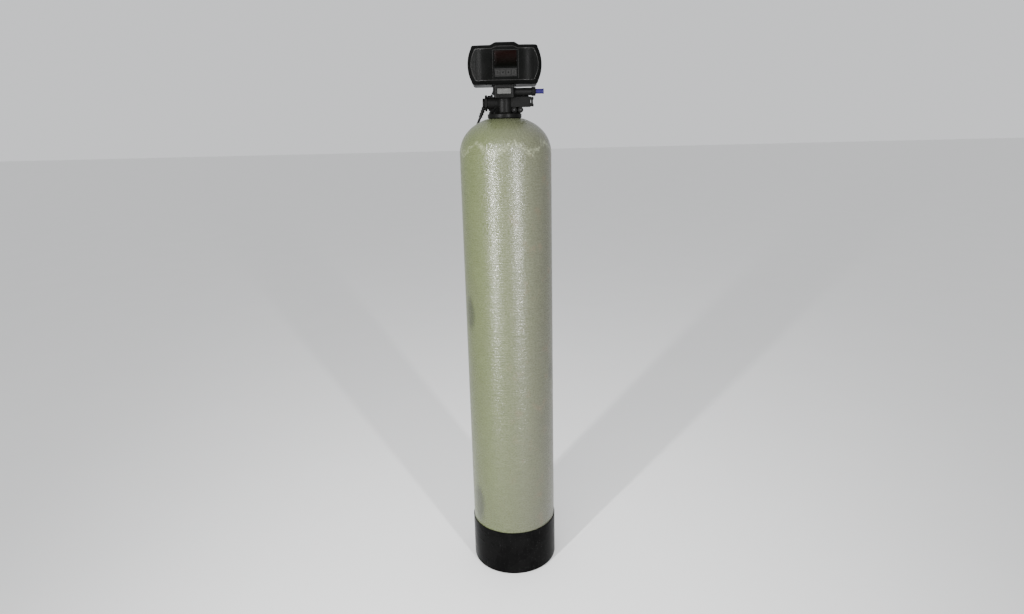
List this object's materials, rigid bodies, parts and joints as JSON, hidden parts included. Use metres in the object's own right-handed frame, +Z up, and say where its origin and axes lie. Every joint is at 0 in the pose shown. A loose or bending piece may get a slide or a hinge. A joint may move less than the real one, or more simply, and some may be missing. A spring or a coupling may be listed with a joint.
{
  "type": "whole house carbon filter",
  "caption": "Tall wound-glass filter tank on a black boot with a timer-controlled backwash valve, bypass and power lead, for cleaning a house's water with carbon.",
  "frame": {"origin": "centre of the tank's footprint on the floor", "axes": "+Z up along the tank's axis, -Y out of the control head's display, +X to the right of it"},
  "size_m": [0.2616, 0.385, 1.5651],
  "materials": {
    "wound_glass": "satin, wound fibre showing through",
    "boot_plastic": "satin",
    "valve_plastic": "satin",
    "cover_plastic": "satin",
    "window_plastic": "gloss",
    "grey_plastic": "satin",
    "white_plastic": "satin",
    "blue_plastic": "satin",
    "label_metal": "satin",
    "steel": "satin",
    "black_rubber": "matte",
    "cable_jacket": "satin",
    "board": "satin",
    "carbon": "rough",
    "gravel": "rough"
  },
  "bodies": {
    "filter": {"tank_shell": "wound_glass", "base_boot": "boot_plastic", "gravel_bed": "gravel", "carbon_bed": "carbon", "riser_tube": "white_plastic", "bottom_basket": "white_plastic", "top_basket": "white_plastic", "tank_o_ring": "black_rubber", "riser_o_ring": "black_rubber", "valve_body": "valve_plastic", "seal_cartridge": "white_plastic", "end_plug": "grey_plastic", "label_plate": "label_metal", "drain_fitting": "valve_plastic", "flow_washer": "black_rubber", "injector_tube": "valve_plastic", "injector_nut": "valve_plastic", "port_plug": "blue_plastic", "injector_cap": "valve_plastic", "body_screw_1": "steel", "body_screw_2": "steel", "bypass_body": "valve_plastic", "coupling_left": "white_plastic", "coupling_right": "white_plastic", "coupling_clip_left": "grey_plastic", "coupling_clip_right": "grey_plastic", "union_nut_left": "valve_plastic", "union_nut_right": "valve_plastic", "port_tail_left": "valve_plastic", "port_tail_right": "valve_plastic", "head_cover": "cover_plastic", "back_plate": "cover_plastic", "display_panel": "cover_plastic", "display_window": "window_plastic", "button_bezel": "grey_plastic", "circuit_board": "board", "display_module": "grey_plastic", "drive_bracket": "grey_plastic", "drive_motor": "steel", "gear_axle": "steel", "cord_gland": "black_rubber", "cord_sleeve": "black_rubber", "power_cord": "cable_jacket", "cord_coil": "cable_jacket", "coil_tie": "black_rubber", "power_adapter": "cover_plastic"},
    "button_1": {"button_1": "grey_plastic"},
    "button_2": {"button_2": "grey_plastic"},
    "button_3": {"button_3": "grey_plastic"},
    "button_4": {"button_4": "grey_plastic"},
    "bypass_left": {"rotor_left": "white_plastic", "handle_left": "valve_plastic"},
    "bypass_right": {"rotor_right": "white_plastic", "handle_right": "valve_plastic"},
    "drive": {"drive_gear": "grey_plastic"},
    "motor": {"motor_pinion": "label_metal"},
    "spool": {"piston": "label_metal", "piston_rod": "steel"}
  },
  "joints": [
    {"name": "press_1", "type": "slide", "parent": "filter", "child": "button_1", "axis": [0, 1, 0], "range_m": [0, 0.001], "stiffness_N_per_m": 400},
    {"name": "press_2", "type": "slide", "parent": "filter", "child": "button_2", "axis": [0, 1, 0], "range_m": [0, 0.001], "stiffness_N_per_m": 400},
    {"name": "press_3", "type": "slide", "parent": "filter", "child": "button_3", "axis": [0, 1, 0], "range_m": [0, 0.001], "stiffness_N_per_m": 400},
    {"name": "press_4", "type": "slide", "parent": "filter", "child": "button_4", "axis": [0, 1, 0], "range_m": [0, 0.001], "stiffness_N_per_m": 400},
    {"name": "bypass_turn_left", "type": "hinge", "parent": "filter", "child": "bypass_left", "pos_m": [-0.0185, 0.078, 1.4075], "axis": [0, 0, 1], "range_deg": [0, 90]},
    {"name": "bypass_turn_right", "type": "hinge", "parent": "filter", "child": "bypass_right", "pos_m": [0.0185, 0.078, 1.4075], "axis": [0, 0, -1], "range_deg": [0, 90]},
    {"name": "piston_lift", "type": "slide", "parent": "filter", "child": "spool", "axis": [0, 0, 1], "range_m": [0, 0.02827]},
    {"name": "drive_turn", "type": "hinge", "parent": "filter", "child": "drive", "pos_m": [0.0152, 0, 1.498], "axis": [0, 1, 0], "range_deg": [0, 135]},
    {"name": "motor_turn", "type": "hinge", "parent": "filter", "child": "motor", "pos_m": [-0.01598, 0, 1.516], "axis": [0, 1, 0], "range_deg": [-405, 0]}
  ],
  "couplings": [
    {"joint": "drive_turn", "follows": "piston_lift", "rad_per_m": 83.333},
    {"joint": "motor_turn", "follows": "piston_lift", "rad_per_m": -250}
  ]
}
